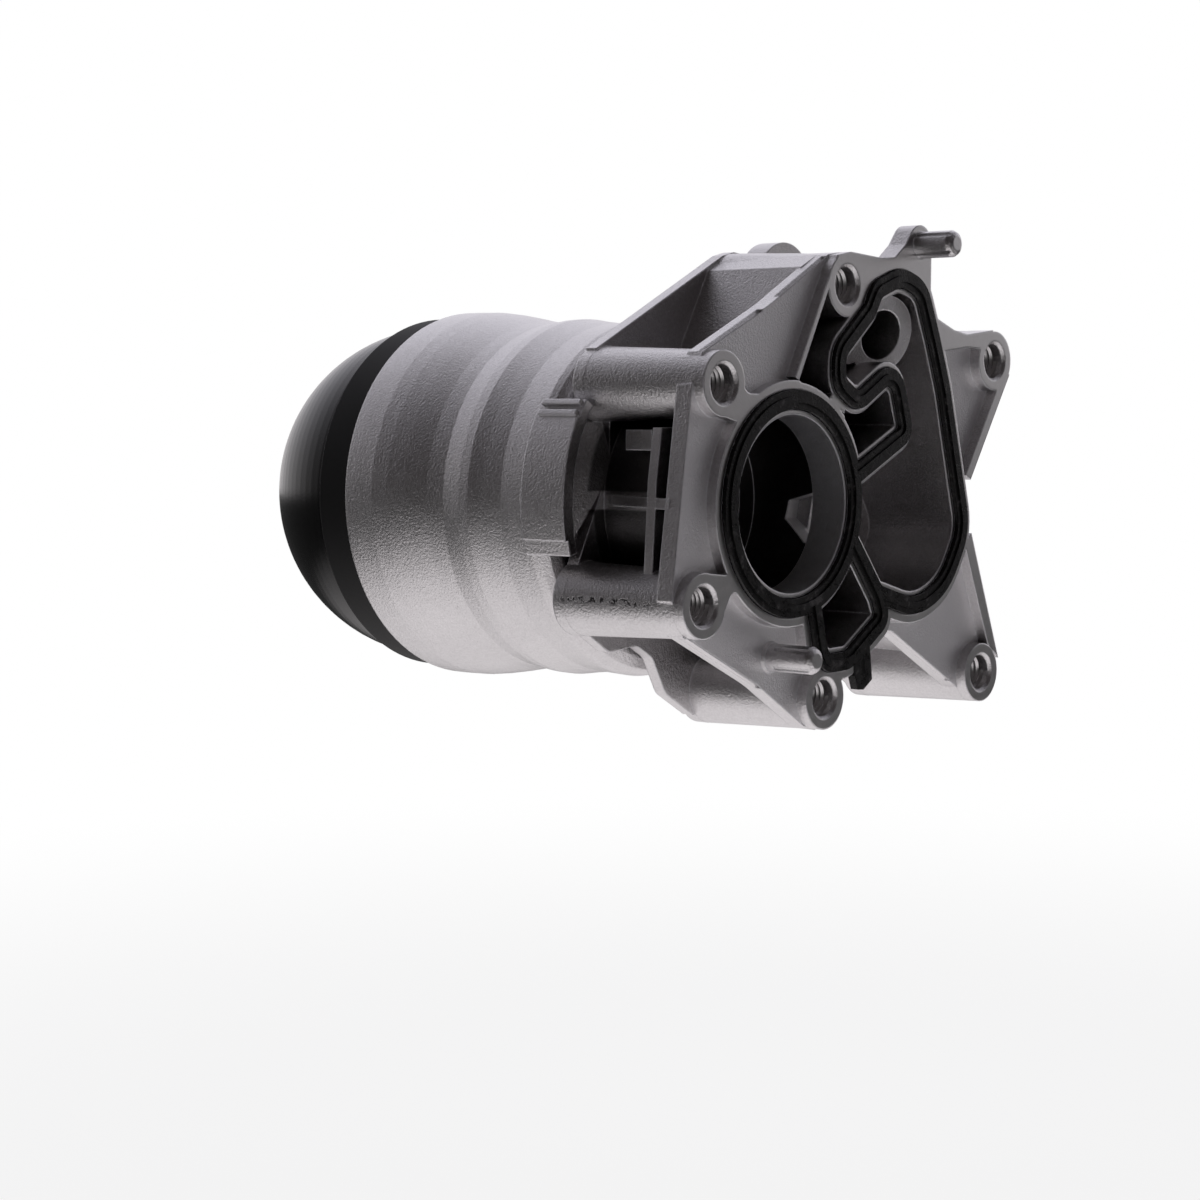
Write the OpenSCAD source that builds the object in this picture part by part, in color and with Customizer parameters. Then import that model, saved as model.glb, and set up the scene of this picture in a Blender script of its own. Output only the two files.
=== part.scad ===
// Oil filter housing: a cast can with a six-bolt flange, a screw cap and its cartridge.
// Millimetres. The origin is the centre of the main port on the sealing face.
// +X points out of the flange, +Y to its right and +Z up; the can runs towards -X.

/* [Flange] */
// Height of the machined lands above the cast web
land_h = 2.8; // [1.5:0.1:4]
// Thickness of the cast web between the lands
web_t = 4.4; // [3:0.2:6]
// Radius of each bolt boss at the sealing face
boss_r = 7.4; // [7:0.1:8.4]
// Growth of a boss radius from front to back, for draft
boss_draft = 1.2; // [0.4:0.1:2]
// Length of the bolt bosses behind the sealing face
boss_len = 37; // [34:0.5:40]
// Radius of the tapped bolt holes
bolt_r = 4.25; // [3.4:0.05:4.5]
// Depth of the tapped bolt holes
bolt_depth = 27; // [18:1:30]
// Radius of the countersink at each bolt hole
sink_r = 5; // [4.6:0.1:5.6]
// Thickness of the rear plate that ties the bosses together
rear_t = 3.2; // [2.5:0.1:5]
// Thickness of the stiffening ribs
rib_t = 2.4; // [2:0.2:3.6]
// Bevel along the long edges of the web
web_bevel = 1.6; // [0.6:0.1:2.4]

/* [Ports and sealing path] */
// Radius of the main port
port_r = 20.4; // [18:0.2:21]
// Length of the main port before it opens into the gallery
port_len = 9.4; // [6:0.2:14]
// Depth at which the gallery narrows
gallery_step = 29; // [24:0.5:31]
// Width of the gasket groove
groove_w = 4.6; // [3.6:0.1:5]
// Depth of the gasket groove
groove_d = 2.4; // [1.6:0.1:2.6]
// Metal left between a groove and the opening beside it
lip = 1.1; // [0.8:0.1:1.6]
// Width of the outer shoulder of the lands round the groove
shoulder = 2.1; // [1.4:0.1:2.6]
// Radius of the round port boss in the inlet chamber
knob_r = 9.4; // [8:0.2:10]
// Radius of the hole in that boss
knob_hole_r = 5.9; // [4:0.1:6.4]
// Depth of that hole
knob_depth = 26; // [16:1:30]
// Step from the sealing face down to the middle of that boss
knob_drop = 4; // [3.6:0.2:6]
// Slope of that boss in degrees
knob_tilt = 17; // [0:1:18]
// Depth of the inlet chamber
inlet_depth = 31; // [20:1:32]
// Depth of the small lower chamber
loop_depth = 20; // [10:1:26]
// Depth of the pockets that lighten the flange
pocket_depth = 18; // [8:1:24]
// Height of the gasket bead above the sealing face
bead_h = 1.4; // [1:0.1:1.8]

/* [Locating pins] */
// Radius of the cast locating pins
pin_r = 3.2; // [2.6:0.1:3.4]
// Height of the pins above the sealing face
pin_h = 10.5; // [8:0.5:14]
// Radius of the flutes cut along the pins
flute_r = 0.6; // [0.3:0.1:0.6]

/* [Can] */
// Distance from the sealing face to the rim of the can
can_len = 100.6; // [96:0.2:108]
// Outer radius of the can at its rim
can_r = 45.5; // [44.8:0.1:46.5]
// Outer radius at the waist
waist_r = 42.3; // [42:0.1:43]
// Inner radius of the filter chamber
chamber_r = 38.4; // [37.8:0.1:39]
// Inner radius of the threaded mouth
mouth_r = 40.8; // [40.6:0.1:41.2]
// Depth of the threaded mouth
mouth_len = 18; // [14:0.5:20]
// Distance from the sealing face to the chamber floor
floor_at = 44; // [43:0.2:46]

/* [Screw cap] */
// Radius of the cap's outer band
band_r = 44.1; // [43.5:0.1:45]
// Width of the cap's outer band
band_w = 10; // [7:0.5:12]
// Height of the dome above the band
dome_h = 37.5; // [34:0.5:38]
// Radius of the dome where it leaves the band
dome_r = 42.2; // [40:0.1:43]
// Wall of the cap
cap_wall = 3.4; // [2.5:0.1:4]
// Hexagon across its flats
hex_af = 32; // [27:1:34]
// Height of the hexagon
hex_h = 5.6; // [4:0.2:6]
// Gap all round between the cap's skirt and the mouth, where the threads are
thread_gap = 0.6; // [0.5:0.1:0.8]
// Wire radius of the cap seal ring
seal_wire = 1.3; // [1:0.1:1.5]

/* [Cartridge] */
// Outer radius of the cartridge discs
disc_r = 31; // [28:0.5:32]
// Thickness of the cartridge discs
disc_t = 3; // [2:0.2:4]
// Distance from the sealing face to the cartridge
cart_at = 55; // [54:0.5:58]
// Length of the cartridge
cart_len = 75; // [70:1:76]
// Number of pleats
pleats = 40; // [24:2:48]
// Thickness of a pleat's wall
pleat_t = 1.1; // [0.8:0.1:1.4]
// Outer radius of the cartridge's own core
core_r = 17; // [15.5:0.5:18]

/* [Centre tube and valves] */
// Outer radius of the centre tube
tube_r = 10.9; // [9.5:0.1:12]
// Wall of the centre tube
tube_wall = 2; // [1.5:0.1:2.4]
// Radius of the flow holes in the centre tube
flow_r = 2.3; // [1.5:0.1:2.8]
// Travel of the bypass valve
bypass_travel = 5; // [3:0.5:6]
// Travel of the check valve
check_travel = 4; // [2.5:0.5:5]
// Radius of the check valve's seat
check_r = 7.2; // [6.4:0.1:7.4]

/* [Clearances] */
// Gap left round pieces that slide or turn in each other
slide_gap = 0.1; // [0.05:0.01:0.1]
// Gap left round pieces that sit in a pocket
seat_gap = 0.15; // [0.05:0.05:0.3]
// Gap at the face where the cap meets the rim
face_gap = 0.3; // [0.2:0.05:0.4]

/* [Hidden] */
$fn = 64;

// Bolt holes, as seen on the sealing face
bolt_at = [[-25.4, 27.3], [20.8, 50.3], [84.8, 33.5], [-32.2, -21.4], [13, -45.7], [80.2, -45.1]];
// The fluted pins stand here
pin_at = [[50.8, 60.9], [-4.6, -34.9]];
lug_r = pin_r + 1.6;
lug_t = 5;
knob_at = [40.2, 39.2];
bump_at = [41.5, 51.5];
bump_r = 11;

groove_mid = port_r + lip + groove_w / 2;
ring_land_r = groove_mid + groove_w / 2 + shoulder;
land_w = groove_w + 2 * lip;
gasket_w = groove_w - 2 * seat_gap;
web_back = land_h + web_t;
wall = 3.6;
gallery_r = port_r + 2.8;
gallery_neck_r = port_r - 2.9;
// The walls of the can stay as thick when it gets wider or narrower, and a longer can
// takes a longer cartridge: these are the outer sizes that the inner ones go with
plain_len = 100.6;
plain_waist = 42.3;
plain_rim = 45.5;
cart_run = cart_len + can_len - plain_len;
chamber_in = chamber_r + waist_r - plain_waist;
mouth_in = mouth_r + can_r - plain_rim;
// The check valve stands just inside the chamber's wall
check_at = [chamber_in - check_r - 1, -2];
// The solid floor between the gallery and the filter chamber
floor_t = wall + 2;
gallery_end = floor_at - floor_t;
spigot = 4;
rear_front = boss_len - rear_t;

// Corners of the gasket path round the inlet chamber, each with its bend radius
inlet_path = [
    [22.9, 5.7, 0], [44.9, 15.8, 2.9], [39.8, 31.5, 5], [24.4, 23.1, 5], [16.8, 27.4, 5],
    [16.9, 34.8, 6], [29, 44.6, 5], [32, 49.6, 5], [42, 53.1, 11], [50.8, 50.4, 8],
    [56.2, 38.4, 14], [60.9, 26.4, 30], [70.6, -8.5, 12], [62.2, -21.9, 19], [49.5, -27, 18],
    [33.3, -22.5, 4], [22.2, -9, 0]
];
// Corners of the gasket path round the small lower chamber
loop_path = [
    [22.2, -9, 0], [33.2, -22.6, 6], [35.8, -28.4, 3.2], [21.4, -37.4, 6], [11.4, -37.6, 4.5],
    [7.4, -22.4, 0]
];
bend_steps = 6;

function unit(v) = v / norm(v);
// Points of the arc that rounds corner b between a and c
function bend(a, b, c, r) =
    let (u = unit(a - b), v = unit(c - b), half = acos(u * v) / 2)
    let (reach = min(r / tan(half), 0.49 * min(norm(a - b), norm(c - b))))
    let (true_r = reach * tan(half), m = b + unit(u + v) * true_r / sin(half))
    let (s = b + u * reach - m, e = b + v * reach - m)
    let (from = atan2(s[1], s[0]), turn = atan2(cross(s, e), s * e))
    [for (i = [0 : bend_steps]) m + true_r * [cos(from + turn * i / bend_steps), sin(from + turn * i / bend_steps)]];
function flat2(p) = [p[0], p[1]];
// An open path with its corners rounded
function open_path(p) = [
    for (i = [0 : len(p) - 1])
        each i == 0 || i == len(p) - 1 || p[i][2] == 0 ? [flat2(p[i])]
            : bend(flat2(p[i - 1]), flat2(p[i]), flat2(p[i + 1]), p[i][2])
];
// A closed outline with its corners rounded
function closed_path(p) = [
    for (i = [0 : len(p) - 1])
        each p[i][2] == 0 ? [flat2(p[i])]
            : bend(flat2(p[(i + len(p) - 1) % len(p)]), flat2(p[i]), flat2(p[(i + 1) % len(p)]), p[i][2])
];
function side(a, b) = let (d = unit(b - a)) [-d[1], d[0]];
// Which way a path turns at b: 1 to the left, -1 to the right
function turning(a, b, c) = sign(cross(b - a, c - b));
// The path at distance w to the left of another, its bends kept concentric
function beside(p, w) = [
    for (i = [0 : len(p) - 1])
        let (h = max(i - 1, 0), j = min(i + 1, len(p) - 1))
        let (n1 = side(flat2(p[min(h, len(p) - 2)]), flat2(p[max(i, 1)])))
        let (n2 = side(flat2(p[min(i, j - 1)]), flat2(p[j])))
        let (m = flat2(p[i]) + w * (n1 + n2) / (1 + n1 * n2))
        let (r = h == i || j == i ? 0 : max(p[i][2] - w * turning(flat2(p[h]), flat2(p[i]), flat2(p[j])), 0))
        [m[0], m[1], r < 0.3 ? 0 : r]
];
function reversed(q) = [for (i = [len(q) - 1 : -1 : 0]) q[i]];
// A strip of width w along a path
function strip(p, w) = concat(open_path(beside(p, w / 2)), reversed(open_path(beside(p, -w / 2))));

inlet_line = open_path(inlet_path);
loop_line = open_path(loop_path);

// Stands a shape drawn on the sealing face up into the frame of the part
module on_axis() rotate([90, 0, 90]) children();
module slab(back, front) translate([0, 0, -back]) linear_extrude(back - front) children();
module rod(r, back, front) translate([0, 0, -back]) cylinder(r = r, h = back - front);
module ring(outer, inner, back, front) difference() {
    rod(outer, back, front);
    rod(inner, back + 1, front - 1);
}

// The sealing paths as a strip of any width
module seal_band(w) {
    difference() {
        circle(groove_mid + w / 2);
        circle(groove_mid - w / 2);
    }
    difference() {
        union() {
            polygon(strip(inlet_path, w));
            polygon(strip(loop_path, w));
        }
        circle(groove_mid - w / 2 + 0.01);
    }
}
// The room inside the inlet path
module inlet_room() difference() {
    polygon(inlet_line);
    polygon(strip(inlet_path, land_w));
    polygon(strip(loop_path, land_w));
    circle(groove_mid + land_w / 2);
}
// The room inside the small lower path
module loop_room() difference() {
    polygon(loop_line);
    polygon(strip(inlet_path, land_w));
    polygon(strip(loop_path, land_w));
    circle(groove_mid + land_w / 2);
}
// The pocket between the hook of the path and the main port
module hook_room() difference() {
    polygon([[20, 8], [44, 16], [41, 31], [20, 22]]);
    polygon(inlet_line);
    polygon(strip(inlet_path, land_w));
    circle(groove_mid + land_w / 2 + 0.6);
}
// The pocket between the upper bolt and the inlet path
module top_pocket() difference() {
    polygon([[13.3, 49.2], [2.1, 28.2], [12, 22], [24, 34], [24, 44]]);
    polygon(inlet_line);
    polygon(strip(inlet_path, land_w));
    circle(ring_land_r - 0.4);
    translate(bolt_at[1]) circle(boss_r);
}

// Corners of the cast web, each with the radius of its bend
web_corners = [
        [-33.2, 27, 0], [-29.4, 34.3, 0], [-5, 45.4, 40], [17, 57.4, 0], [22, 58.1, 2], [34.2, 57.2, 4],
        [40, 57.6, 2], [46, 58, 0], [55.4, 58, 0], [55.5, 50.4, 2], [59.6, 43.2, 6], [72, 39.6, 20], [84, 41.2, 0],
        [92, 30, 0], [74, 3, 7], [75.4, -8.6, 10], [88, -42, 0],
        [82, -52.6, 0], [74.6, -49.2, 4], [42.6, -31.4, 5], [36.6, -34.6, 5], [24.6, -41.2, 4], [21, -45, 0],
        [13, -53.4, 0], [8.4, -52, 0], [-9, -41.2, 40], [-36, -28.2, 0], [-40, -20, 0]
];
module web_outline() {
    polygon(closed_path(web_corners));
    for (p = bolt_at) translate(p) circle(boss_r + 0.1);
}
// Everything that stands up to the sealing face
module land_outline() {
    circle(ring_land_r);
    seal_band(groove_w + 2 * shoulder);
    polygon(inlet_line);
    polygon(loop_line);
    for (p = bolt_at) translate(p) circle(boss_r);
    hook_room();
    // The bridge from the upper bolt to the inlet path and the lug
    polygon(closed_path([
        [11.9, 49.6, 2], [14.6, 53.6, 3], [17, 57.2, 0], [22, 58.1, 2], [34.2, 57.2, 4], [40, 57.6, 0], [55.4, 57.6, 0], [55.4, 50.4, 0], [36, 46, 0], [18, 26, 0], [10, 24, 0], [0.7, 29, 0]]));
    // Raised rims along the right-hand edges
    polygon([[58, 43.8], [60, 43], [66, 40.9], [72, 39.9], [84, 41.2], [80, 36.4], [72, 36.7], [62, 35.6]]);
    polygon([[91.9, 30.2], [74.3, 3.8], [72, 5], [87.4, 28.6]]);
    polygon([[75, -9.6], [88.2, -42], [83.2, -38], [72, -12]]);
    // Short bars that tie the left-hand bolts to the ring
    polygon(closed_path([
        [-25.4, 34.6, 0], [-20.6, 32.6, 3], [-17.6, 25.2, 3], [-10, 25, 0], [-20.8, 18.9, 1], [-25.4, 20, 0]]));
    polygon(closed_path([
        [-32.2, -14.1, 0], [-24.6, -14.9, 1], [-18, -14, 0], [-18, -21, 0], [-22.2, -18.4, 2], [-26.8, -26, 0]]));
    // The bar from the lower bolt to the small chamber
    polygon([[8, -40], [17, -38.6], [20, -42], [12, -44]]);
    polygon([[4.4, -27.6], [6.6, -38.4], [12, -38], [12, -26]]);
}
// Outline of the lug that carries the upper pin
module lug_outline() {
    translate(pin_at[0]) circle(lug_r);
    polygon(closed_path([
        [47.3, 64.2, 0], [44.5, 60.8, 0], [39.9, 57.4, 6], [35.6, 55.8, 0], [40, 52, 0], [55.5, 50.4, 0], [55.6, 60.4, 0]
    ]));
}
// Outline of the plate behind, which ties the bosses together
module rear_outline() {
    polygon(closed_path([
        [-24.8, 20, 0], [-24.8, 8.6, 6], [-37.6, -17, 0], [-31.6, -30.2, 0], [-25, -34.4, 4], [-15, -33.6, 4],
        [-9.4, -36.8, 4], [-4.4, -45.8, 4], [6, -51.8, 0], [21.6, -47.6, 0], [30, -39, 8], [48, -33, 20],
        [74, -50.6, 0], [88.6, -41, 0], [72, -8, 10], [70, 3, 10], [91, 28, 0], [84, 42.4, 0], [68, 38, 12],
        [55, 50, 0], [44, 57, 0], [21, 59.2, 0], [16.8, 58.2, 0], [-29.4, 35.4, 0]
    ]));
    for (p = bolt_at) translate(p) circle(boss_r + boss_draft);
    translate(bump_at) circle(bump_r);
}

// A blind bolt boss with draft and a rounded back
module boss() {
    back_r = boss_r + boss_draft;
    round = 2.4;
    rotate_extrude() polygon(concat(
        [[0, -0.5], [boss_r, -0.5]],
        [for (a = [0 : 15 : 90]) [back_r - round + round * cos(a), -boss_len + round - round * sin(a)]],
        [[0, -boss_len]]
    ));
}
// A cast locating pin with a rounded tip
module pin() difference() {
    rotate_extrude() polygon([[0, -3], [pin_r, -3], [pin_r, pin_h - 1.4], [pin_r - 0.5, pin_h - 0.5],
        [pin_r - 1.4, pin_h], [0, pin_h]]);
    for (a = [45 : 90 : 315]) rotate(a) translate([pin_r + 0.1, 0, 0]) cylinder(r = flute_r, h = pin_h + 1);
}

// Outline of the can: how far each point lies from the shoulder to the rim, as a share of the
// way, and its step from the radius of the waist or of the rim
shoulder_at = 43.4;
shoulder_steps = [[-7.7, 5.2], [-4.3, 4.8], [-1.7, 3.8], [-0.3, 2], [0.1, 0]];
waist_steps = [[0.15, -0.3], [0.2465, 0.3], [0.316, 0.9], [0.369, 0.8], [0.465, 0.1], [0.5525, 0.6]];
rim_steps = [[0.666, -1.4], [0.7535, -0.6], [0.832, -0.1]];
function way(share) = -shoulder_at - share * (can_len - shoulder_at);
can_profile = concat(
    [[0, -rear_front], [27, -rear_front]],
    [for (s = shoulder_steps) [waist_r + s[0], s[1] - shoulder_at]],
    [for (s = waist_steps) [waist_r + s[1], way(s[0])]],
    [for (s = rim_steps) [can_r + s[1], way(s[0])]],
    [[can_r, -can_len + 4], [can_r, -can_len + 0.7], [can_r - 0.7, -can_len], [0, -can_len]]
);

// The cast web, its long outer edges bevelled
web_edges = [
    [[-29.4, 34.3], [-8, 43.8]], [[-2, 47], [16, 56.9]], [[-8, -41.8], [-35, -28.4]], [[70, -46.8], [45, -32.8]]
];
module web() difference() {
    slab(web_back, land_h) union() {
        web_outline();
        land_outline();
    }
    for (e = web_edges) let (d = e[1] - e[0])
        translate([e[0][0], e[0][1], -land_h]) rotate([0, 0, atan2(d[1], d[0])]) rotate([-45, 0, 0])
            translate([0, 0, -web_bevel / sqrt(2)]) cube([norm(d), web_t + web_bevel, web_t + web_bevel]);
}

module housing_solid() {
    rotate_extrude() polygon(can_profile);
    web();
    slab(web_back, 0) land_outline();
    slab(lug_t, 0) lug_outline();
    slab(boss_len, rear_front) rear_outline();
    // Walls of the gallery and of the inlet chamber
    rod(gallery_r + wall, rear_front + 1, web_back - 1);
    slab(rear_front + 1, web_back - 1) union() {
        polygon(inlet_line);
        polygon(strip(inlet_path, groove_w + 2 * shoulder - 1));
        // The walls of the upper pocket
        polygon([[22, 58.1], [17, 57.4], [11, 54.4], [1.4, 37.2], [-2.2, 27.6], [10, 22], [28, 40], [32, 50]]);
    }
    slab(loop_depth + wall, web_back - 1) union() {
        polygon(loop_line);
        polygon(strip(loop_path, groove_w + 2 * shoulder - 1));
    }
    for (p = bolt_at) translate(p) boss();
    translate([pin_at[0][0], pin_at[0][1], 0]) pin();
    translate([pin_at[1][0], pin_at[1][1], 0]) pin();
    translate([pin_at[1][0], pin_at[1][1], -web_back]) cylinder(r1 = pin_r + 1.2, r2 = pin_r + 0.3, h = web_t + 1);
    // Ribs in the side window: one upright, one level
    slab(12.8 + rib_t / 2, 12.8 - rib_t / 2)
        polygon([[-33, 17.6], [-34.8, 6], [-36.4, -18], [-20, -18], [-20, 17.6]]);
    translate([0, 0.9 + rib_t / 2, 0]) rotate([90, 0, 0]) linear_extrude(rib_t)
        polygon([[-37.2, -web_back + 1], [-25.4, -rear_front - 1], [-20, -rear_front - 1], [-20, -web_back + 1]]);
    translate([-29.4, 12.4, -25]) cube([8, 4.6, 7.6]);
    // One rib carries each outer bolt; every pocket stays open to the side
    for (r = [[[62, 20], bolt_at[2]], [[56, -22], bolt_at[5]], [[15, -34], bolt_at[4]],
              [[-18, -18], bolt_at[3]], [[-14, 22], bolt_at[0]]])
        slab(rear_front + 1, web_back - 1) polygon(strip([for (q = r) [q[0], q[1], 0]], rib_t));
    // A closed round boss behind the inlet chamber
    translate([bump_at[0], bump_at[1], 0]) rotate_extrude() polygon([[0, -rear_front], [bump_r, -rear_front],
        [bump_r, -boss_len - 3], [bump_r - 1.6, -boss_len - 4.6], [0, -boss_len - 4.6]]);
    side_pad();
}

// A collar stands forward from the can's shoulder; a pad and two ribs are cast on it
collar_in = waist_r - 2.1;
module sector(from, to, outer, inner) difference() {
    intersection() {
        circle(outer);
        polygon([[0, 0], 2 * outer * [-cos(from), sin(from)],
            2 * outer * [-cos((from + to) / 2), sin((from + to) / 2)], 2 * outer * [-cos(to), sin(to)]]);
    }
    circle(inner);
}
module side_pad() {
    slab(45, 31.5) sector(-15.5, 34, waist_r + 0.3, collar_in);
    slab(44.5, 31.5) sector(-10.6, 28, waist_r + 1.1, collar_in);
    for (a = [28.6, 32.2]) slab(43.4, 32) sector(a - 0.9, a + 0.9, waist_r + 1.6, collar_in);
}

// The sloped boss of the round side port fills the upper end of the inlet chamber
module knob_outline() {
    translate(knob_at) circle(knob_r);
    polygon([[12, 31.6], [31.8, 32.2], [36, 33.4], knob_at, [knob_at[0], 60], [12, 60]]);
}

// A cast pocket in the gallery's wall; behind it the wall bulges into the inlet chamber
pocket_corners = [[2.1, 0], [-0.3, -9], [-4.7, -9.8], [-10.2, -2.8], [-10.2, 0]];
module wall_pocket(reach, grow) rotate([90, 0, 90]) translate([0, 0, port_r - wall])
    linear_extrude(reach - port_r + wall) offset(delta = grow) translate([0, -port_len]) polygon(pocket_corners);

module housing_cuts() {
    // Filter chamber and threaded mouth
    rod(chamber_in, can_len - mouth_len + 1, floor_at);
    rod(mouth_in, can_len + 1, can_len - mouth_len);
    translate([0, 0, -can_len - 0.01]) cylinder(r1 = mouth_in + 1, r2 = mouth_in, h = 1);
    // Main port, gallery and the seat of the centre tube
    rod(port_r, port_len + 1, -1);
    rod(gallery_r, gallery_step, port_len);
    rod(gallery_neck_r, gallery_end, gallery_step - 1);
    wall_pocket(gallery_r + 4.2, 0);
    rod(tube_r + seat_gap, floor_at + 1, gallery_end - 1);
    // Gasket groove
    slab(groove_d, -1) seal_band(groove_w);
    slab(tab_t + seat_gap, -1) offset(delta = seat_gap) tab_outline();
    // Inlet chamber with a scooped floor, and its round port
    intersection() {
        difference() {
            slab(inlet_depth, -1) difference() {
                inlet_room();
                knob_outline();
            }
            wall_pocket(gallery_r + 6.2, 2);
        }
        translate([42, 4, 32]) sphere(r = inlet_depth + 32);
    }
    intersection() {
        slab(inlet_depth, -1) inlet_room();
        translate([knob_at[0], knob_at[1], -knob_drop]) rotate(a = -knob_tilt, v = [-0.64, 0.77, 0])
            translate([-can_r, -1.5 * can_r, 0]) cube([2 * can_r, 3 * can_r, 1.5 * can_r]);
    }
    translate([knob_at[0], knob_at[1], 0]) rod(knob_hole_r, knob_depth, -1);
    // Small lower chamber and the pockets
    slab(loop_depth, -1) loop_room();
    slab(pocket_depth, -1) hook_room();
    slab(pocket_depth, -1) top_pocket();
    // Way in to the filter chamber, with the seat of the check valve
    translate([check_at[0], check_at[1], 0]) {
        rod(check_r - 2.4, floor_at + 1, inlet_depth - 6);
        rod(check_r + seat_gap, floor_at + 1, check_face);
    }
    // Blind tapped bolt holes with their countersinks
    for (p = bolt_at) translate([p[0], p[1], 0]) {
        rod(bolt_r, bolt_depth, -1);
        translate([0, 0, -(sink_r - bolt_r)]) cylinder(r1 = bolt_r, r2 = sink_r + 0.01, h = sink_r - bolt_r + 0.01);
    }
}

module housing() color([0.62, 0.62, 0.63]) on_axis() difference() {
    housing_solid();
    housing_cuts();
}

// The gasket's pull tab hangs out of the groove through a notch in the land
tab_t = 1.8;
tab_corners = [[24.4, -35.4], [30.6, -33.4], [31.8, -42.8], [28.3, -45], [25.9, -44.8], [24.6, -41.4]];
module tab_outline() polygon(tab_corners);

// Moulded gasket: one closed web of rubber with a raised bead and a pull tab
module flange_gasket() color([0.08, 0.08, 0.09]) on_axis() {
    slab(groove_d, 0) seal_band(gasket_w);
    slab(0.1, -bead_h) seal_band(gasket_w * 0.34);
    slab(0, -bead_h * 0.7) difference() {
        seal_band(gasket_w);
        seal_band(gasket_w * 0.34);
    }
    slab(tab_t, -0.2) tab_outline();
}

// Screw cap, one moulding with its skirt, band, dome and hexagon
cap_face = can_len + face_gap;
skirt_r = mouth_in - thread_gap;
skirt_in = skirt_r - 4.4;
skirt_len = mouth_len - 1.4;
seal_mid_r = mouth_in - slide_gap / 2 - seal_wire;
seal_at = can_len - 4.2;
band_at = cap_face + band_w;
dome_full = dome_h * 1.14;
dome_in_r = dome_r - cap_wall;
dome_in_full = dome_full - cap_wall;
dome_stop = asin(dome_h / dome_full);
dome_in_stop = asin((dome_h - cap_wall) / dome_in_full);
module screw_cap() color([0.1, 0.1, 0.11]) on_axis() {
    difference() {
        union() {
            rotate_extrude() polygon(concat(
                [[0, -cap_face - 2], [skirt_r, -cap_face - 2], [band_r - 0.4, -cap_face - 2],
                 [band_r - 0.4, -cap_face], [band_r, -cap_face - 0.4], [band_r, -band_at + 0.5], [band_r - 0.4, -band_at]],
                [for (i = [0 : 18]) let (a = dome_stop * i / 18) [dome_r * cos(a), -band_at - dome_full * sin(a)]],
                [[0, -band_at - dome_h]]
            ));
            rod(skirt_r, cap_face + 3, can_len - skirt_len);
            rotate(30) translate([0, 0, -band_at - dome_h - hex_h])
                cylinder(r = hex_af / sqrt(3), h = hex_h + 2, $fn = 6);
        }
        rod(skirt_in, band_at + 0.01, can_len - skirt_len - 1);
        rotate_extrude() polygon(concat(
            [[0, -band_at], [skirt_in, -band_at]],
            [for (i = [0 : 18]) let (a = dome_in_stop * i / 18)
                [min(skirt_in, dome_in_r * cos(a)), -band_at - dome_in_full * sin(a)]],
            [[0, -band_at - dome_h + cap_wall]]
        ));
        ring(skirt_r + 1, seal_mid_r - seal_wire - slide_gap / 2, seal_at + seal_wire + 0.3, seal_at - seal_wire - 0.3);
        // Relief round the hexagon's foot and a shallow recess in its end
        translate([0, 0, -band_at - dome_h - hex_h - 1]) cylinder(r = hex_af * 0.36, h = 3);
    }
}

module cap_seal_ring() color([0.16, 0.16, 0.17]) on_axis()
    translate([0, 0, -seal_at]) rotate_extrude() translate([seal_mid_r, 0]) circle(seal_wire, $fn = 24);

// A coil spring of round wire, its ends ground flat against their seats
module coil(mid_r, wire, back, front, turns) {
    pitch = (back - front - 2 * wire) / turns;
    intersection() {
        translate([0, 0, wire - back - pitch / 2])
            linear_extrude(pitch * (turns + 1), twist = -360 * (turns + 1), slices = (turns + 1) * 14, $fn = 8)
                polygon([for (t = [0 : 45 : 315])
                    (mid_r + wire * cos(t)) * [cos(wire * sin(t) * 360 / pitch), sin(wire * sin(t) * 360 / pitch)]]);
        rod(mid_r + wire + 2, back, front);
    }
}

cart_end = cart_at + cart_run;
cap_inside = band_at + dome_h - cap_wall;
cap_coil_r = 16.6;
cap_wire = 0.8;
module cap_spring() color([0.6, 0.62, 0.64]) on_axis()
    coil(cap_coil_r, cap_wire, cap_inside - seat_gap, cart_end + seat_gap, 4);

// Pleated paper between the two discs
paper_out = disc_r - 1;
paper_in = core_r + 0.6;
module pleated_paper() color([0.85, 0.78, 0.6]) on_axis()
    slab(cart_end - disc_t, cart_at + disc_t) difference() {
        polygon([for (i = [0 : 2 * pleats - 1])
            (i % 2 == 0 ? paper_out : paper_in + pleat_t) * [cos(180 * i / pleats), sin(180 * i / pleats)]]);
        polygon([for (i = [0 : 2 * pleats - 1])
            (i % 2 == 0 ? paper_out - 2.4 * pleat_t : paper_in) * [cos(180 * i / pleats), sin(180 * i / pleats)]]);
    }

core_wall = 1.6;
module cartridge_core() color([0.75, 0.74, 0.7]) on_axis() difference() {
    ring(core_r, core_r - core_wall, cart_end - disc_t, cart_at + disc_t);
    for (i = [0 : 5], a = [0 : 60 : 120])
        translate([0, 0, -cart_at - disc_t - 8 - i * (cart_run - 2 * disc_t - 16) / 5]) rotate([90, 0, a + 30 * (i % 2)])
            cylinder(r = flow_r + 0.4, h = 3 * core_r, center = true);
}

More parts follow.
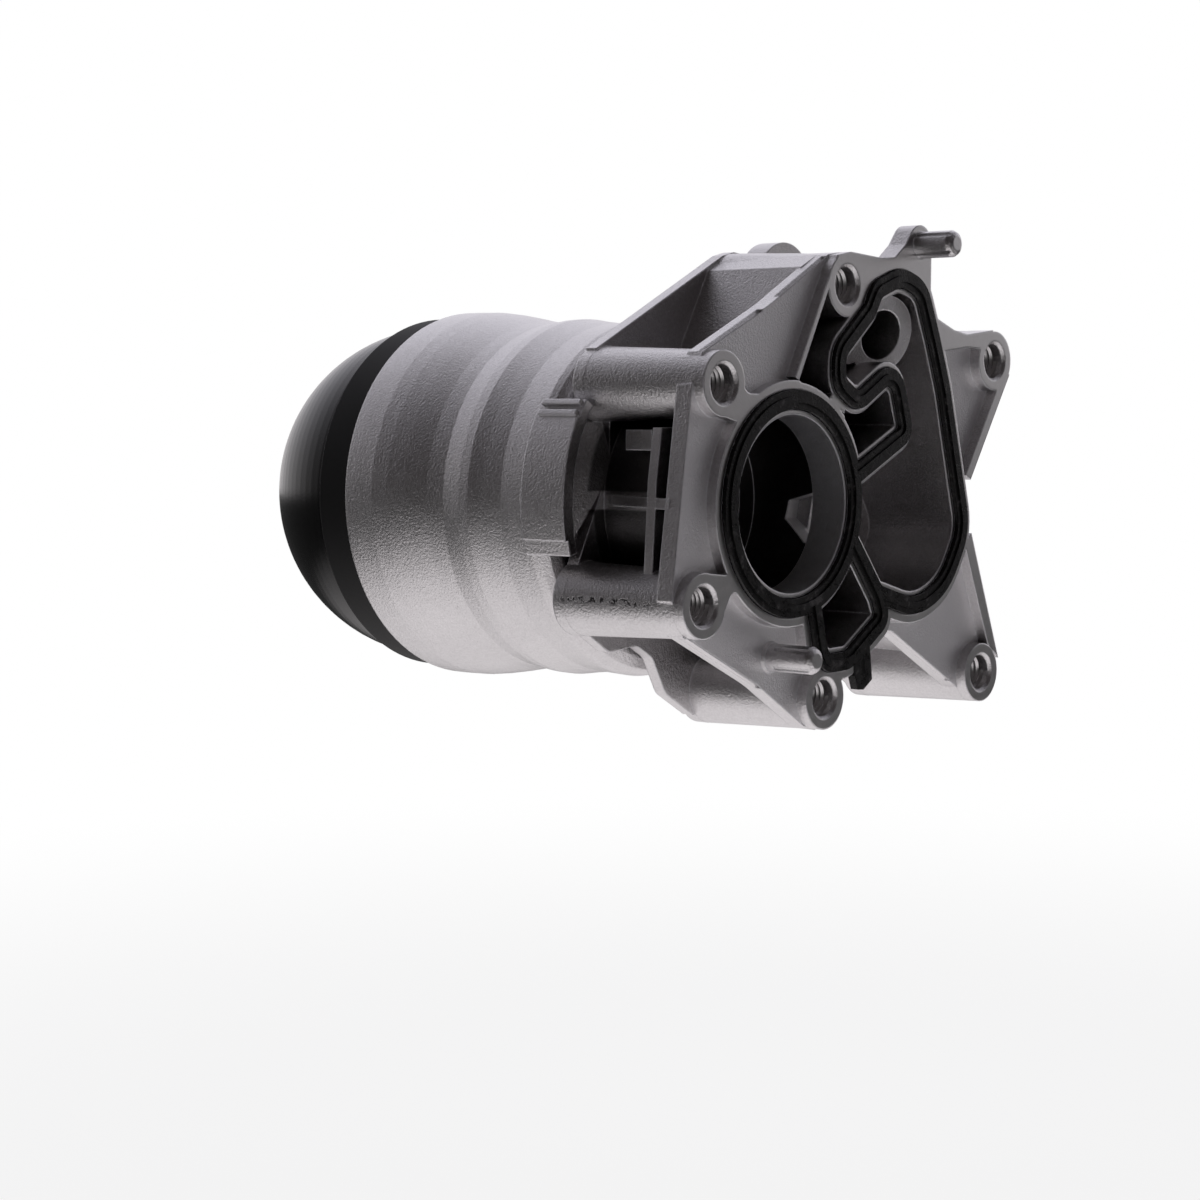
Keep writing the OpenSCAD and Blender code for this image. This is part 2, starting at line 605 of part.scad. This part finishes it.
lip_out = tube_r + 3.2;
lip_t = 1.2;
module disc(back, front) difference() {
    rod(disc_r, back, front);
    rod(lip_out + seat_gap / 3, back + 1, front - 1);
}
module inner_disc() color([0.2, 0.22, 0.25]) on_axis() disc(cart_at + disc_t, cart_at);
module outer_disc() color([0.2, 0.22, 0.25]) on_axis() union() {
    disc(cart_end, cart_end - disc_t);
    // The rim that keeps the cap spring in the middle
    ring(cap_coil_r + 3.4, cap_coil_r + 2, cart_end + 2, cart_end - 1);
}
module lip_seal(back, front) difference() {
    rod(lip_out, back, front);
    rod(tube_r + slide_gap, back + 1, front - 1);
    translate([0, 0, -back - 0.01]) cylinder(r1 = tube_r + 1.2, r2 = tube_r, h = lip_t);
}
module inner_lip_seal() color([0.05, 0.05, 0.06]) on_axis() lip_seal(cart_at + disc_t, cart_at);
module outer_lip_seal() color([0.05, 0.05, 0.06]) on_axis() lip_seal(cart_end, cart_end - disc_t);

// Centre tube with rows of flow holes and a foot on the chamber floor
tube_end = cart_end + 6;
foot_t = 2.4;
foot_r = tube_r + 4;
tube_in = tube_r - tube_wall;
module centre_tube() color([0.16, 0.17, 0.18]) on_axis() difference() {
    union() {
        rod(tube_r, tube_end, gallery_end - spigot);
        rod(foot_r, floor_at + foot_t, floor_at);
    }
    rod(tube_in, tube_end + 1, gallery_end - spigot - 1);
    // Groove for the clip
    ring(tube_r + 1, tube_r - clip_bite, gallery_end, gallery_end - clip_t - seat_gap);
    for (i = [0 : 4], a = [0, 60, 120])
        translate([0, 0, -cart_at - 8 - i * (cart_run - 35) / 4]) rotate([90, 0, a + 30 * (i % 2)])
            cylinder(r = flow_r, h = 3 * tube_r, center = true);
}
// Spring clip that grips the tube's groove and pulls its foot down on the floor
clip_t = 1.4;
clip_bite = 0.6;
clip_w = 3.4;
module tube_retainer() color([0.66, 0.67, 0.69]) on_axis() difference() {
    ring(tube_r + clip_w, tube_r - clip_bite + seat_gap / 3, gallery_end, gallery_end - clip_t);
    // The clip is open on one side so that it can be pushed on
    translate([-clip_w - tube_r - 1, -tube_r * 0.55, -gallery_end - 1])
        cube([tube_r + clip_w + 1, tube_r * 1.1, clip_t + 2]);
}

// Bypass valve in the far end of the tube
insert_r = tube_in - seat_gap / 3;
seat_t = 2.5;
poppet_r = insert_r - 1.4;
poppet_at = tube_end - seat_t - seat_gap;
poppet_t = 1.8;
stem_r = 1.6;
bypass_wire = 0.55;
bypass_coil_r = 4.9;
bypass_turns = 5;
guide_t = 4;
// The closed spring still leaves the valve its whole travel
guide_at = poppet_at - poppet_t - bypass_travel - 2 * bypass_wire * (bypass_turns + 3);
module bypass_seat() color([0.72, 0.7, 0.62]) on_axis() difference() {
    rod(insert_r, tube_end, tube_end - seat_t);
    rod(poppet_r - 1.8, tube_end + 1, tube_end - seat_t - 1);
    translate([0, 0, -tube_end - 0.01]) cylinder(r1 = poppet_r - 0.6, r2 = poppet_r - 1.8, h = 1.2);
}
module bypass_poppet() color([0.7, 0.72, 0.74]) on_axis() union() {
    rod(poppet_r, poppet_at, poppet_at - poppet_t);
    rod(stem_r, poppet_at - 1, guide_at - guide_t - 2);
    translate([0, 0, -poppet_at + poppet_t - 0.01]) cylinder(r1 = 3, r2 = stem_r, h = 1.4);
}
module bypass_spring() color([0.6, 0.62, 0.64]) on_axis()
    coil(bypass_coil_r, bypass_wire, poppet_at - poppet_t - seat_gap, guide_at + seat_gap, bypass_turns);
module bypass_guide() color([0.72, 0.7, 0.62]) on_axis() difference() {
    union() {
        rod(insert_r, guide_at, guide_at - 2);
        rod(stem_r + 1.4, guide_at - 1, guide_at - guide_t);
    }
    rod(stem_r + slide_gap, guide_at + 1, guide_at - guide_t - 1);
    for (a = [0 : 60 : 300]) rotate(a) translate([insert_r - 2.4, 0, 0]) rod(1.5, guide_at + 1, guide_at - 3);
}

// Check valve in the chamber floor
check_sink = 2;
check_face = floor_at - check_sink;
check_disc_at = floor_at + 0.6;
check_disc_t = 1.6;
check_wire = 0.4;
check_coil_r = 3.3;
check_turns = 3;
cage_t = 1;
slot_w = 4.4;
slot_h = 4;
cage_end = check_disc_at + check_disc_t + check_travel + 2 * check_wire * (check_turns + 1) + cage_t;
module at_check() on_axis() translate([check_at[0], check_at[1], 0]) children();
module check_seat() color([0.72, 0.7, 0.62]) at_check()
    ring(check_r, check_r - 3.6, check_disc_at - seat_gap, check_face);
module check_disc() color([0.12, 0.12, 0.13]) at_check() union() {
    rod(check_r - 1.9, check_disc_at + check_disc_t, check_disc_at);
    rod(1.3, check_disc_at + check_disc_t + 2, check_disc_at);
}
module check_spring() color([0.6, 0.62, 0.64]) at_check()
    coil(check_coil_r, check_wire, cage_end - cage_t - seat_gap, check_disc_at + check_disc_t + seat_gap, check_turns);
module check_cage() color([0.7, 0.72, 0.74]) at_check() difference() {
    rod(check_r, cage_end, check_disc_at);
    rod(check_r - 1.2, cage_end - cage_t, check_disc_at - 1);
    rod(2, cage_end + 1, cage_end - 2);
    for (a = [0, 90]) rotate(a)
        translate([-check_r - 1, -slot_w / 2, -cage_end + cage_t + 1.2]) cube([2 * check_r + 2, slot_w, slot_h]);
}

housing();
flange_gasket();
screw_cap();
cap_seal_ring();
cap_spring();
pleated_paper();
cartridge_core();
inner_disc();
outer_disc();
inner_lip_seal();
outer_lip_seal();
centre_tube();
tube_retainer();
bypass_seat();
bypass_poppet();
bypass_spring();
bypass_guide();
check_seat();
check_disc();
check_spring();
check_cage();
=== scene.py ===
import math

import bpy
from mathutils import Matrix, Vector


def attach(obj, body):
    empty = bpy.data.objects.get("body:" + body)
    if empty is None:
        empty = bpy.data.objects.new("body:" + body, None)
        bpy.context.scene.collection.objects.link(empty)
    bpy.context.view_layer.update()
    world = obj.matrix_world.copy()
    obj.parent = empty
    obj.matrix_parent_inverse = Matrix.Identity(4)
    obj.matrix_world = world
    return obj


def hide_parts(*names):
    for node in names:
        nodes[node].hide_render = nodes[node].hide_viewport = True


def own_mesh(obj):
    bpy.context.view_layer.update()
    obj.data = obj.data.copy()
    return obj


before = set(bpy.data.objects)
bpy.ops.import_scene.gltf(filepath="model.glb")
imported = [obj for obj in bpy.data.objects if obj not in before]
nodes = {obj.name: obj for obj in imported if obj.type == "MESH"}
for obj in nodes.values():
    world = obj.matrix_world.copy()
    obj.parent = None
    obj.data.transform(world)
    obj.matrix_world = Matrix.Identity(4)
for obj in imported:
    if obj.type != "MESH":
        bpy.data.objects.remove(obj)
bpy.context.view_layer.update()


# ---- Photograph's view ---------------------------------------------------------------
# The camera stands to the left of the flange and a little above it, about 57 cm away.
# It was solved from the flange's plane and the circles of the can.
camera_at = Vector((0.3409, -0.4588, 0.0238))
camera_right = Vector((0.7544, 0.6564, 0.0004)).normalized()
camera_back = Vector((0.6543, -0.752, 0.08)).normalized()
camera_up = camera_back.cross(camera_right).normalized()
camera_right = camera_up.cross(camera_back).normalized()
camera_data = bpy.data.cameras.new("camera")
camera_data.lens = 75
camera_data.sensor_width = 36
camera_data.clip_start = 0.01
camera = bpy.data.objects.new("camera", camera_data)
bpy.context.scene.collection.objects.link(camera)
camera.matrix_world = Matrix((
    (camera_right.x, camera_up.x, camera_back.x, camera_at.x),
    (camera_right.y, camera_up.y, camera_back.y, camera_at.y),
    (camera_right.z, camera_up.z, camera_back.z, camera_at.z),
    (0, 0, 0, 1)))
bpy.context.scene.camera = camera
bpy.context.scene.view_settings.view_transform = "Standard"


# ---- Shading by sums -----------------------------------------------------------------
# Each finish below is written as sums and products of shader values. This class wraps one
# value of a material and adds the nodes for them.
class Shade:
    def __init__(self, tree, socket=None):
        self.tree = tree
        self.socket = socket

    def node(self, kind, inputs=None, output=0, **settings):
        made = self.tree.nodes.new(kind)
        for name, value in settings.items():
            setattr(made, name, value)
        for key, value in (inputs or {}).items():
            if isinstance(value, Shade):
                self.tree.links.new(value.socket, made.inputs[key])
            else:
                made.inputs[key].default_value = value
        return Shade(self.tree, made.outputs[output])

    def math(self, operation, first, second=0.0):
        return self.node("ShaderNodeMath", {0: first, 1: second}, operation=operation)

    def __add__(self, other):
        return self.math("ADD", self, other)

    def __radd__(self, other):
        return self.math("ADD", other, self)

    def __sub__(self, other):
        return self.math("SUBTRACT", self, other)

    def __rsub__(self, other):
        return self.math("SUBTRACT", other, self)

    def __mul__(self, other):
        return self.math("MULTIPLY", self, other)

    def __rmul__(self, other):
        return self.math("MULTIPLY", other, self)

    def between(self, low, high):
        """0 below low, 1 above high, and smooth between them."""
        return self.node("ShaderNodeMapRange", {0: self, 1: low, 2: high, 3: 0.0, 4: 1.0},
                         interpolation_type="SMOOTHSTEP")

    def below(self, low, high):
        """1 below low, 0 above high, and smooth between them."""
        return 1 - self.between(low, high)

    def strip(self, rise, fall):
        """1 from the rise to the fall; each is the pair of places between which it fades."""
        return self.between(*rise) * self.below(*fall)

    def place(self):
        """Where the shaded point lies in its piece, in metres."""
        return self.node("ShaderNodeTexCoord", output="Object")

    def normal(self):
        return self.node("ShaderNodeNewGeometry", output="Normal")

    def axes(self):
        """The X, Y and Z parts of a direction or a place."""
        parts = self.node("ShaderNodeSeparateXYZ", {0: self}).socket.node.outputs
        return [Shade(self.tree, part) for part in parts]

    def along(self, direction):
        """How far this direction agrees with the other one: 1 where they are the same."""
        return self.node("ShaderNodeVectorMath", {0: self, 1: direction}, output="Value",
                         operation="DOT_PRODUCT")

    def noise(self, scale, detail=2.0, roughness=0.5):
        """Noise at this place."""
        return self.node("ShaderNodeTexNoise", {"Vector": self, "Scale": scale, "Detail": detail,
                                                "Roughness": roughness})

    def tint(self, factor, first, second):
        """A colour between first and second."""
        return self.node("ShaderNodeMix", {0: factor, 6: first, 7: second}, output=2,
                         data_type="RGBA")

    def bump(self, height, distance, strength=1.0, normal=None):
        inputs = {"Height": height, "Distance": distance, "Strength": strength}
        if normal:
            inputs["Normal"] = normal
        return self.node("ShaderNodeBump", inputs)


def new_finish(name, **sockets):
    """A material with a Principled shader; returns its maker and the shader's inputs."""
    finish = bpy.data.materials.new(name)
    finish.use_nodes = True
    shader = finish.node_tree.nodes["Principled BSDF"]
    for key, value in sockets.items():
        shader.inputs[key.replace("_", " ")].default_value = value
    return finish, Shade(finish.node_tree), shader.inputs


def feed(socket, value):
    value.tree.links.new(value.socket, socket)


def dress(finish, *names):
    for name in names:
        piece = nodes[name]
        piece.data.materials.clear()
        piece.data.materials.append(finish)


# ---- Cast housing --------------------------------------------------------------------
# Can, flange, bosses and locating pins are one aluminium die casting with a sandy blasted
# skin. Only the sealing face, the port mouth and the holes are machined.
cast, cast_maker, cast_in = new_finish("cast_aluminium")
cast_place = cast_maker.place()
cast_x, cast_y, cast_z = cast_place.axes()
facing_x = cast_maker.normal().axes()[0]
# Squared distance from the main port's axis
from_port = cast_y * cast_y + cast_z * cast_z


def within(radius, fade):
    """1 inside that radius round the main port's axis."""
    return from_port.below(radius ** 2, (radius + fade) ** 2)


grain = cast_place.noise(1700, 3, 0.7)
blotches = cast_place.noise(420, 4, 0.6)
clouds = cast_place.noise(45, 4, 0.6)
# Wavy skin where the metal froze first
waves = cast_place.noise(120, 3, 0.5)

# Painted shade: where ambient occlusion finds the casting closed in, its pockets are coloured far
# darker than the open outside
pocket_width = 0.032
open_air = cast_maker.node("ShaderNodeAmbientOcclusion", {"Distance": pocket_width}, output=1,
                           samples=8, only_local=True)
outside_painted_shade = open_air.between(0.0, 0.24)

# The machined plane of the flange at X = 0, and the web 3 mm behind it, which is
# coloured pale and less metallic as painted light
faces_flange = facing_x.between(0.9, 0.99)
machined = faces_flange * cast_x.between(-0.0004, -0.0001)
painted_light_web = faces_flange * cast_x.strip((-0.0046, -0.0036), (-0.0022, -0.0014))

# The bored wall of the main port ends at the neck
neck_end = -0.0100
bore_inner, bore_outer, bore_fade = 0.0200, 0.0206, 0.0002
port_bore = ((1 - within(bore_inner, bore_fade)) * within(bore_outer, bore_fade)
             * cast_x.between(neck_end, neck_end + 0.0006))

# Painted shade: the passages behind the neck and the recess behind the side windows, down
# to the can's floor, are coloured nearly black
flange_side = cast_x.between(-0.0425, -0.0405)
passage_r, recess_r = 0.0233, 0.0298
painted_shade_passage = within(passage_r, 0.0002) * cast_x.below(neck_end, neck_end + 0.0008) * flange_side
cross_bar = cast_z.strip((-0.0016, -0.0010), (0.0026, 0.0032))
painted_shade_recess = (within(recess_r, 0.0010) * cast_x.below(-0.012, -0.006)
          * cast_y.below(-0.016, -0.010) * (1 - cross_bar) * flange_side)

# Painted light: the small pocket in the port's wall is coloured as bright as the machined bore
painted_light_pocket = (cast_x.strip((-0.0222, -0.0218), (-0.0096, -0.0092))
             * cast_y.strip((0.0120, 0.0122), (0.0272, 0.0274))
             * cast_z.strip((-0.0134, -0.0130), (0.0050, 0.0054))
             * (1 - painted_shade_passage))

# Small blowholes in a row where the two halves of the die meet, on one boss; they are dented
# and coloured near black as painted shade inside them
on_die_line = (cast_x.strip((-0.036, -0.033), (-0.011, -0.008))
               * cast_y.below(-0.0386, -0.0376)
               * cast_z.strip((-0.0219, -0.0211), (-0.0205, -0.0197)))
pits_and_painted_shade = cast_place.noise(1100, 2, 0.6).between(0.52, 0.58) * on_die_line

# Painted highlight: edges and fillets, where the bevel bends the normal, are coloured as a bright
# line, less metallic and less rough, outside the painted shade
soft_edge = cast_maker.node("ShaderNodeBevel", {"Radius": 0.0006}, samples=8)
painted_edge_highlight = soft_edge.along(cast_maker.normal()).below(0.84, 0.995) * outside_painted_shade * (1 - painted_shade_recess)

cast_tone = (clouds - 0.5) * 0.5 + (blotches - 0.5) * 0.5 + (grain - 0.5) * 1.2 + 0.5
skin = cast_maker.tint(cast_tone, (0.52, 0.508, 0.514, 1), (0.76, 0.745, 0.755, 1))
# Painted shade: the near-black colour given to the closed-in pockets
painted_pocket_shade = cast_maker.tint(cast_tone, (0.06, 0.057, 0.057, 1), (0.13, 0.125, 0.125, 1))
cut_metal = cast_maker.tint(blotches, (0.62, 0.615, 0.62, 1), (0.74, 0.735, 0.74, 1))
cast_colour = cast_maker.tint(outside_painted_shade, painted_pocket_shade, skin)
# Each layer covers the ones before it
for cover, layer in ((machined.math("MAXIMUM", machined, port_bore), cut_metal),
                     (painted_light_web, (0.88, 0.87, 0.88, 1)),
                     (painted_light_pocket, (0.9, 0.89, 0.89, 1)),
                     (painted_shade_recess * 0.8, (0.06, 0.055, 0.055, 1)),
                     (painted_shade_passage * 0.85, (0.04, 0.037, 0.037, 1)),
                     (painted_edge_highlight, (0.97, 0.96, 0.97, 1)),
                     (pits_and_painted_shade * 0.9, (0.02, 0.02, 0.02, 1))):
    cast_colour = cast_maker.tint(cover, cast_colour, layer)
feed(cast_in["Base Color"], cast_colour)
feed(cast_in["Metallic"],
     (1 - painted_edge_highlight * 0.9 - port_bore * 0.35 - painted_light_pocket * 0.6) * (1 - painted_light_web * 0.45))
feed(cast_in["Roughness"],
     0.32 + (blotches - 0.5) * 0.12 + (grain - 0.5) * 0.1 - painted_edge_highlight * 0.14)
cast_relief = (grain * 1.2 + blotches * 0.15) * (1 - machined * 0.85) + waves * 0.12 - pits_and_painted_shade * 0.8
feed(cast_in["Normal"], cast_maker.bump(cast_relief, 0.00016, 1.0, soft_edge))
dress(cast, "housing")


# ---- Threads of the bolt holes -------------------------------------------------------
# Each blind hole is drilled and tapped after casting, so its flanks are bright aluminium.
def grainy(name, scale, detail, dark, light, rough, rough_grain, depth, strength, **sockets):
    """A finish whose one fine grain varies the colour, the roughness and the relief."""
    finish, maker, inputs = new_finish(name, **sockets)
    fine = maker.place().noise(scale, detail)
    feed(inputs["Base Color"], maker.tint(fine, dark, light))
    feed(inputs["Roughness"], rough + fine * rough_grain)
    feed(inputs["Normal"], maker.bump(fine, depth, strength))
    return finish


def select_only(piece):
    bpy.ops.object.select_all(action="DESELECT")
    piece.select_set(True)
    bpy.context.view_layer.objects.active = piece


def helix(name, profile, start, turns, pitch, steps):
    """A closed mesh: a profile of (along, out) corners screwed round the X axis from start."""
    bpy.ops.object.select_all(action="DESELECT")
    bpy.ops.mesh.primitive_circle_add(vertices=len(profile), radius=1, fill_type="NOTHING")
    coil = bpy.context.object
    coil.name = name
    for corner, (along, out) in zip(coil.data.vertices, profile):
        corner.co = (start + along, out, 0)
    screw = coil.modifiers.new("screw", "SCREW")
    screw.axis = "X"
    screw.iterations = turns
    screw.screw_offset = pitch
    screw.steps = steps
    screw.render_steps = steps
    screw.use_merge_vertices = False
    bpy.ops.object.modifier_apply(modifier="screw")
    bpy.ops.object.mode_set(mode="EDIT")
    bpy.ops.mesh.select_all(action="SELECT")
    bpy.ops.mesh.fill_holes(sides=0)
    bpy.ops.mesh.normals_make_consistent(inside=False)
    bpy.ops.object.mode_set(mode="OBJECT")
    return coil


def settle(piece, place):
    """Puts the piece's place in its mesh."""
    select_only(piece)
    piece.location = place
    bpy.ops.object.transform_apply(location=True, rotation=True, scale=True)


tapped = grainy("tapped_aluminium", scale=2600, detail=2,
                dark=(0.58, 0.57, 0.57, 1), light=(0.80, 0.79, 0.79, 1),
                rough=0.3, rough_grain=0.16, depth=0.00002, strength=0.5, Metallic=1.0)
flank_angle = math.radians(35)
# Threads for M8 bolts: half widths of a turn at its foot and its crest, and the two radii
tap_pitch = 0.00125
tap_flank = tap_pitch * 0.46
tap_crest = 0.00008
tap_outer, tap_inner = 0.00421, 0.00362
tap_bottom = -0.0252
tap_profile = [(-tap_flank, tap_outer), (tap_flank, tap_outer),
               (tap_crest, tap_inner), (-tap_crest, tap_inner)]
bolt_at = [(-0.0254, 0.0273), (0.0208, 0.0503), (0.0848, 0.0335),
           (-0.0322, -0.0214), (0.013, -0.0457), (0.0802, -0.0451)]
for number, (across, height) in enumerate(bolt_at, 1):
    thread = helix(f"bolt_thread_{number}", tap_profile, tap_bottom, turns=18, pitch=tap_pitch,
                   steps=28)
    bpy.ops.object.shade_smooth_by_angle(angle=flank_angle)
    settle(thread, (0, across, height))
    thread.data.materials.append(tapped)
    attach(thread, "housing_body")


# ---- Flange gasket -------------------------------------------------------------------
# One moulded rubber profile lies in the groove of the sealing face; its bead stands proud.
# The skin is satin with a little dust in it.
rubber, rubber_maker, rubber_in = new_finish("gasket_rubber", Specular_IOR_Level=0.3)
rubber_place = rubber_maker.place()
rubber_grain = rubber_place.noise(2200, 2)
rubber_dust = rubber_place.noise(300, 4, 0.7)
feed(rubber_in["Base Color"],
     rubber_maker.tint(rubber_dust.between(0.56, 0.70),
                       (0.006, 0.0054, 0.0055, 1), (0.085, 0.08, 0.08, 1)))
feed(rubber_in["Roughness"], 0.22 + rubber_dust.between(0.35, 0.7) * 0.36)
feed(rubber_in["Normal"], rubber_maker.bump(rubber_grain + rubber_dust * 2.0, 0.00006, 0.8))
dress(rubber, "flange_gasket", "cap_seal_ring", "inner_lip_seal", "outer_lip_seal", "check_disc")


# ---- Screw cap -----------------------------------------------------------------------
# The cap and the centre tube are moulded in black glass-filled nylon, satin, with faint flow
# marks. The cap's thread is moulded on its skirt; the can's is cut into the mouth and runs
# half a pitch away.
nylon, nylon_maker, nylon_in = new_finish("cap_nylon", Specular_IOR_Level=0.4)
nylon_place = nylon_maker.place()
nylon_grain = nylon_place.noise(1800, 2)
nylon_flow = nylon_place.noise(90, 4, 0.6)
# The band is spark-eroded in the mould, so it is duller than the dome
band_end = -0.1109
cap_band = nylon_place.axes()[0].between(band_end - 0.0001, band_end + 0.0001)
feed(nylon_in["Base Color"],
     nylon_maker.tint(nylon_flow, (0.004, 0.004, 0.0042, 1), (0.008, 0.008, 0.0082, 1)))
feed(nylon_in["Roughness"], 0.17 + nylon_flow * 0.08 + cap_band * 0.45)
cap_edge = nylon_maker.node("ShaderNodeBevel", {"Radius": 0.0005}, samples=4)
feed(nylon_in["Normal"], nylon_maker.bump(nylon_grain + nylon_flow, 0.00003, 0.5, cap_edge))
dress(nylon, "screw_cap", "centre_tube")

cap_pitch = 0.003
cap_foot, cap_crest = 0.0009, 0.0003
thread_start = -0.0929


def cap_helix(name, foot_r, crest_r, start):
    profile = [(-cap_foot, foot_r), (cap_foot, foot_r), (cap_crest, crest_r), (-cap_crest, crest_r)]
    return helix(name, profile, start, turns=2, pitch=cap_pitch, steps=96)


cap_thread = cap_helix("cap_thread", foot_r=0.04015, crest_r=0.04062, start=thread_start)
cap_thread.data.materials.append(nylon)
mouth_thread = cap_helix("mouth_thread", foot_r=0.04085, crest_r=0.04038,
                         start=thread_start + cap_pitch / 2)
mouth_thread.data.materials.append(tapped)
for thread, body, finish in ((cap_thread, "cap_body", "cap_plastic"),
                             (mouth_thread, "housing_body", "cast_body")):
    select_only(thread)
    bpy.ops.object.shade_smooth_by_angle(angle=flank_angle)
    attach(thread, body)


# ---- Cartridge -----------------------------------------------------------------------
# Pleated resin-soaked paper is glued between two plastic discs round a perforated core.
paper, paper_maker, paper_in = new_finish("filter_paper", Roughness=0.85)
fibres = paper_maker.place().noise(1400, 4, 0.7)
feed(paper_in["Base Color"],
     paper_maker.tint(fibres, (0.52, 0.40, 0.18, 1), (0.74, 0.62, 0.36, 1)))
feed(paper_in["Normal"], paper_maker.bump(fibres, 0.00008, 0.6))
dress(paper, "pleated_paper")

disc_plastic = grainy("cartridge_plastic", scale=900, detail=3,
                      dark=(0.05, 0.055, 0.065, 1), light=(0.08, 0.085, 0.1, 1),
                      rough=0.4, rough_grain=0.1, depth=0.00003, strength=0.4)
dress(disc_plastic, "inner_disc", "outer_disc")
core_plastic = grainy("core_plastic", scale=900, detail=3,
                      dark=(0.62, 0.6, 0.54, 1), light=(0.7, 0.68, 0.62, 1),
                      rough=0.42, rough_grain=0.1, depth=0.00003, strength=0.4)
dress(core_plastic, "cartridge_core")


# ---- Valves and springs --------------------------------------------------------------
# The springs are drawn wire, the seats turned brass, the poppet and the cage pressed steel.
steel = grainy("bright_steel", scale=1200, detail=3,
               dark=(0.50, 0.50, 0.51, 1), light=(0.62, 0.62, 0.63, 1),
               rough=0.26, rough_grain=0.14, depth=0.00002, strength=0.4, Metallic=1.0)
dress(steel, "cap_spring", "bypass_spring", "check_spring", "tube_retainer", "bypass_poppet",
      "check_cage")
brass = grainy("turned_brass", scale=1200, detail=3,
               dark=(0.58, 0.42, 0.18, 1), light=(0.72, 0.56, 0.28, 1),
               rough=0.25, rough_grain=0.14, depth=0.00002, strength=0.4, Metallic=1.0)
dress(brass, "bypass_seat", "bypass_guide", "check_seat")
wire_sides = 10
wire_angle = math.radians(40)


def valve_spring(name, coil_r, wire_r, front, back, turns, place):
    """A coil of round wire with ends ground flat; front and back are its ends along X."""
    pitch = (front - back - 2 * wire_r) / turns
    corners = [math.tau * k / wire_sides for k in range(wire_sides)]
    ring = [(wire_r * math.cos(turn), coil_r + wire_r * math.sin(turn)) for turn in corners]
    spring = helix(name, ring, back + wire_r - pitch / 2, turns=turns + 1, pitch=pitch, steps=28)
    bpy.ops.object.mode_set(mode="EDIT")
    for cut, away in ((back, -1), (front, 1)):
        bpy.ops.mesh.select_all(action="SELECT")
        bpy.ops.mesh.bisect(plane_co=(cut, 0, 0), plane_no=(away, 0, 0), use_fill=True,
                            clear_outer=True)
    bpy.ops.mesh.select_all(action="SELECT")
    bpy.ops.mesh.normals_make_consistent(inside=False)
    bpy.ops.object.mode_set(mode="OBJECT")
    bpy.ops.object.shade_smooth_by_angle(angle=wire_angle)
    settle(spring, place)
    spring.data.materials.append(steel)
    return spring


bypass_coil = valve_spring("bypass_valve_spring", coil_r=0.0049, wire_r=0.00055,
                           front=-0.1179, back=-0.1314, turns=5, place=(0, 0, 0))
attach(bypass_coil, "housing_body")
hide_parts("bypass_spring")
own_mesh(bypass_coil)
check_coil = valve_spring("check_valve_spring", coil_r=0.0033, wire_r=0.0004,
                          front=-0.04635, back=-0.05325, turns=3, place=(0, 0.0302, -0.002))
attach(check_coil, "housing_body")
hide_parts("check_spring")
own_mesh(check_coil)


# ---- Studio --------------------------------------------------------------------------
# White table below, white background and a light room; its side behind the camera is dark.
floor_height = -0.16
floor_size = 8
pure_white = (1, 1, 1, 1)
warm_white = (1, 0.965, 0.975, 1)
cool_white = (0.97, 0.955, 1.04, 1)
dark_table = (0.05, 0.05, 0.05, 1)
dark_room = (0.045, 0.040, 0.041, 1)
bpy.ops.object.select_all(action="DESELECT")
bpy.ops.mesh.primitive_plane_add(size=floor_size, location=(0, 0, floor_height))
floor = bpy.context.object
floor.name = "floor"
white, white_maker, _ = new_finish("white_table", Base_Color=(0.9, 0.9, 0.9, 1), Roughness=0.9)
table_far = white_maker.node("ShaderNodeVectorMath", {0: white_maker.place()}, output="Value",
                             operation="LENGTH")


def glow(colour):
    return white_maker.node("ShaderNodeEmission", {"Color": colour, "Strength": 1.0})


def blend(factor, first, second):
    return white_maker.node("ShaderNodeMixShader", {0: factor, 1: first, 2: second})


def ray_kind(maker, kind):
    """1 for light paths of that kind."""
    return maker.node("ShaderNodeLightPath", output=kind)


# The casting mirrors a warm table near it and the dark room farther off
mirrored = blend(table_far.between(0.22, 0.46), glow(warm_white), glow(dark_table))
lit = Shade(white.node_tree, white.node_tree.nodes["Principled BSDF"].outputs[0])
table = blend(ray_kind(white_maker, "Is Glossy Ray"), lit, mirrored)
# The camera sees the table whiter than it is lit, and all white at its far end
near_white = 0.86
whitened = near_white + (1 - near_white) * table_far.between(0.15, 0.6)
table = blend(ray_kind(white_maker, "Is Camera Ray") * whitened, table, glow(pure_white))
feed(white.node_tree.nodes["Material Output"].inputs[0], table)
floor.data.materials.append(white)

world = bpy.data.worlds.new("studio")
bpy.context.scene.world = world
world.use_nodes = True
sky = Shade(world.node_tree)
aim = sky.node("ShaderNodeTexCoord", output="Generated")
# Level direction from the object to the photograph's side of the room
photo_side = (0.6543, -0.752, 0.0)
dark_side = aim.along(photo_side).between(-0.8, 0.14)
upward = aim.along((0, 0, 1)).between(-0.1, 0.6)
lit_side = sky.tint(upward, warm_white, cool_white)
surround = sky.tint(dark_side, lit_side, dark_room)
background = world.node_tree.nodes["Background"]
feed(background.inputs["Color"],
     sky.tint(ray_kind(sky, "Is Camera Ray"), surround, pure_white))
background.inputs["Strength"].default_value = 1.0
